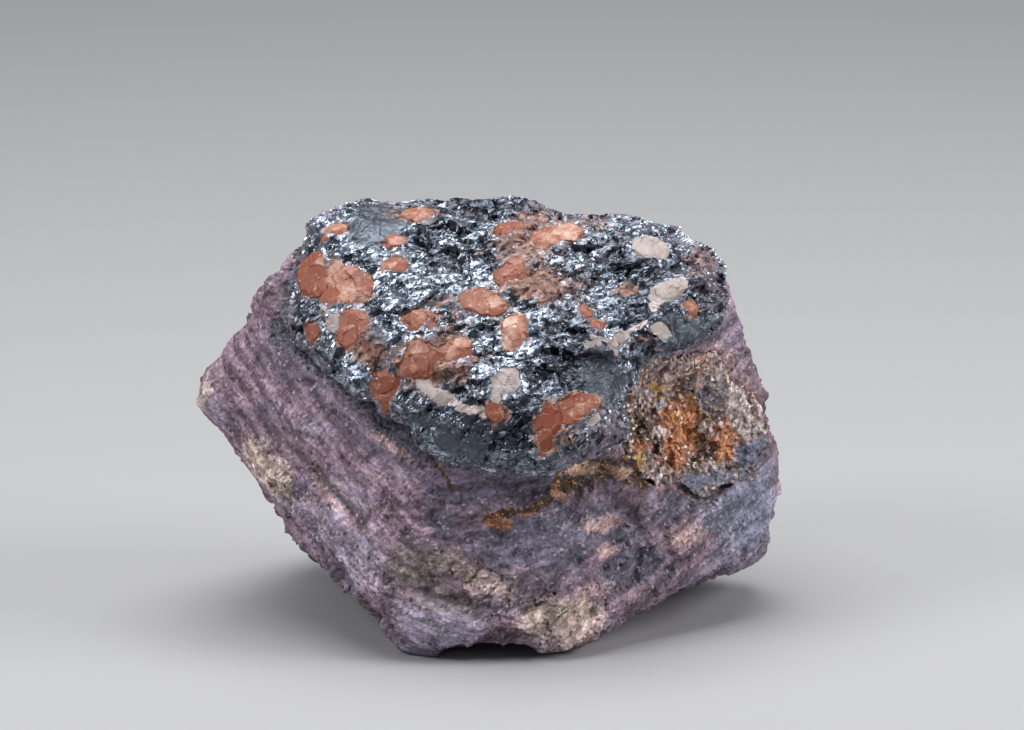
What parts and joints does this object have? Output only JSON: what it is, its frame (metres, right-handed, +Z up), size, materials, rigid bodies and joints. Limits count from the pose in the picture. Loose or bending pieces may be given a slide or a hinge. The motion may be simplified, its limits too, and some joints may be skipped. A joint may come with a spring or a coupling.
{
  "type": "franklinite on matrix specimen",
  "caption": "Broken mineral specimen: domed granular metallic franklinite with orange grains and pale calcite on a layered mauve-grey matrix, with a drusy rust-stained hollow.",
  "frame": {"origin": "middle of the box's underside, on the surface the specimen stands on", "axes": "+X to the right across the display face, +Y away from the viewer, +Z up"},
  "size_m": [0.0884, 0.0624, 0.0651],
  "materials": {
    "matrix": "dull granular, layered mauve grey with ochre stains",
    "franklinite": "bright metallic lustre on blue-black crystal faces",
    "iron_crust": "drusy, rust orange to brown",
    "orange_grain": "satin, slightly translucent salmon orange",
    "calcite": "satin, pinkish white"
  },
  "bodies": {
    "root": {"calcite_fork": "calcite", "calcite_left": "calcite", "calcite_oval": "calcite", "calcite_right": "calcite", "calcite_sliver": "calcite", "calcite_streak": "calcite", "calcite_triangle": "calcite", "calcite_vein": "calcite", "franklinite": "franklinite", "iron_crust": "iron_crust", "matrix": "matrix", "orange_grain_centre": "orange_grain", "orange_grain_centre_left": "orange_grain", "orange_grain_cluster": "orange_grain", "orange_grain_column": "orange_grain", "orange_grain_far_right": "orange_grain", "orange_grain_large_left": "orange_grain", "orange_grain_left_band": "orange_grain", "orange_grain_left_edge": "orange_grain", "orange_grain_left_small": "orange_grain", "orange_grain_lower_left": "orange_grain", "orange_grain_lower_lens": "orange_grain", "orange_grain_lower_right": "orange_grain", "orange_grain_lower_round": "orange_grain", "orange_grain_right_lower": "orange_grain", "orange_grain_right_upper": "orange_grain", "orange_grain_top_brown": "orange_grain", "orange_grain_top_edge": "orange_grain", "orange_grain_top_large": "orange_grain", "orange_grain_upper_centre": "orange_grain", "orange_grain_upper_round": "orange_grain", "orange_grain_upper_small": "orange_grain"}
  },
  "joints": []
}
